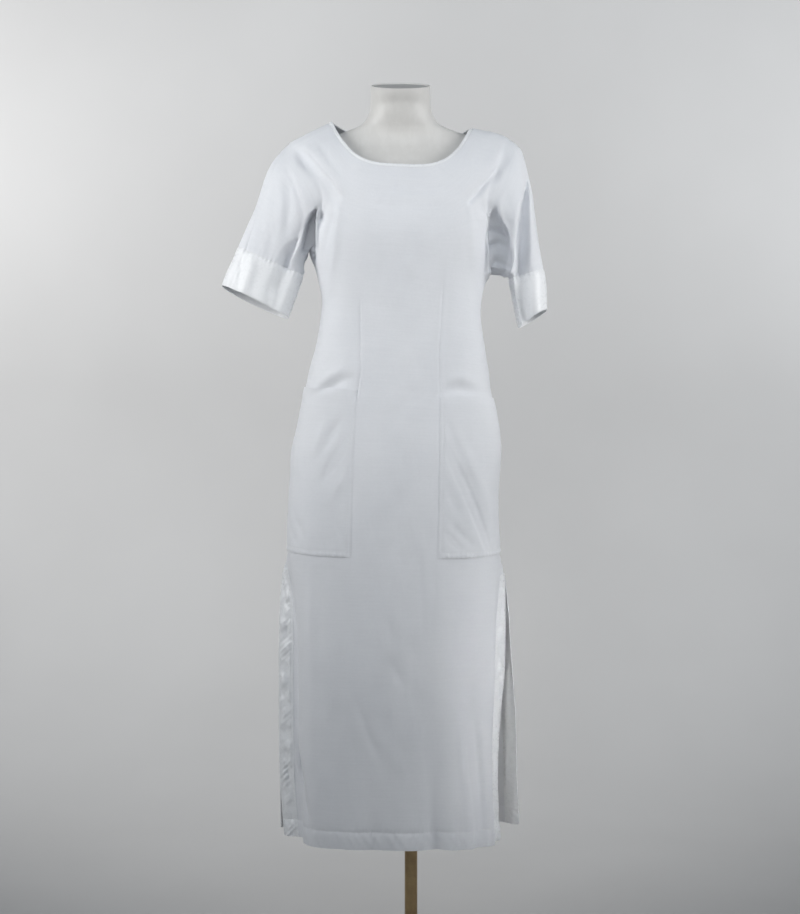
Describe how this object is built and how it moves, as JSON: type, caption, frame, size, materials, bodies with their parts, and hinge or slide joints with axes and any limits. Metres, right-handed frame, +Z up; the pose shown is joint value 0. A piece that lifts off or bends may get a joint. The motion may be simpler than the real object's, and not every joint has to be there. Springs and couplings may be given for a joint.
{
  "type": "t-shirt dress worn by a limbless dress form on a pole stand",
  "caption": "Long white t-shirt dress with wide neck, cut-on short sleeves with cuffs, patch pockets and side slits, on a torso form with pole and round base.",
  "frame": {"origin": "on the floor, under the middle of the round base, on the pole's axis", "axes": "+Z up, the dress faces -Y, +X is on the viewer's right when the front is seen"},
  "size_m": [0.5481, 0.33, 1.5284],
  "materials": {
    "jersey": "fine cotton, soft matt with a faint sheen",
    "satin": "smooth, slightly glossy cotton satin",
    "form_white": "semi-gloss white",
    "form_cap": "matt grey",
    "brass": "dull antique brass"
  },
  "bodies": {
    "root": {"front": "jersey", "back": "jersey", "cuff_left": "satin", "cuff_right": "satin", "slit_band_front_left": "satin", "slit_band_front_right": "satin", "slit_band_back_left": "satin", "slit_band_back_right": "satin", "hem_turn_front": "jersey", "hem_turn_back": "jersey", "pocket_left": "jersey", "pocket_right": "jersey", "neck_binding": "satin", "form_torso": "form_white", "form_neck_cap": "form_cap", "pole": "brass", "pole_collar": "brass", "base_collar": "brass", "base_plate": "brass"}
  },
  "joints": []
}
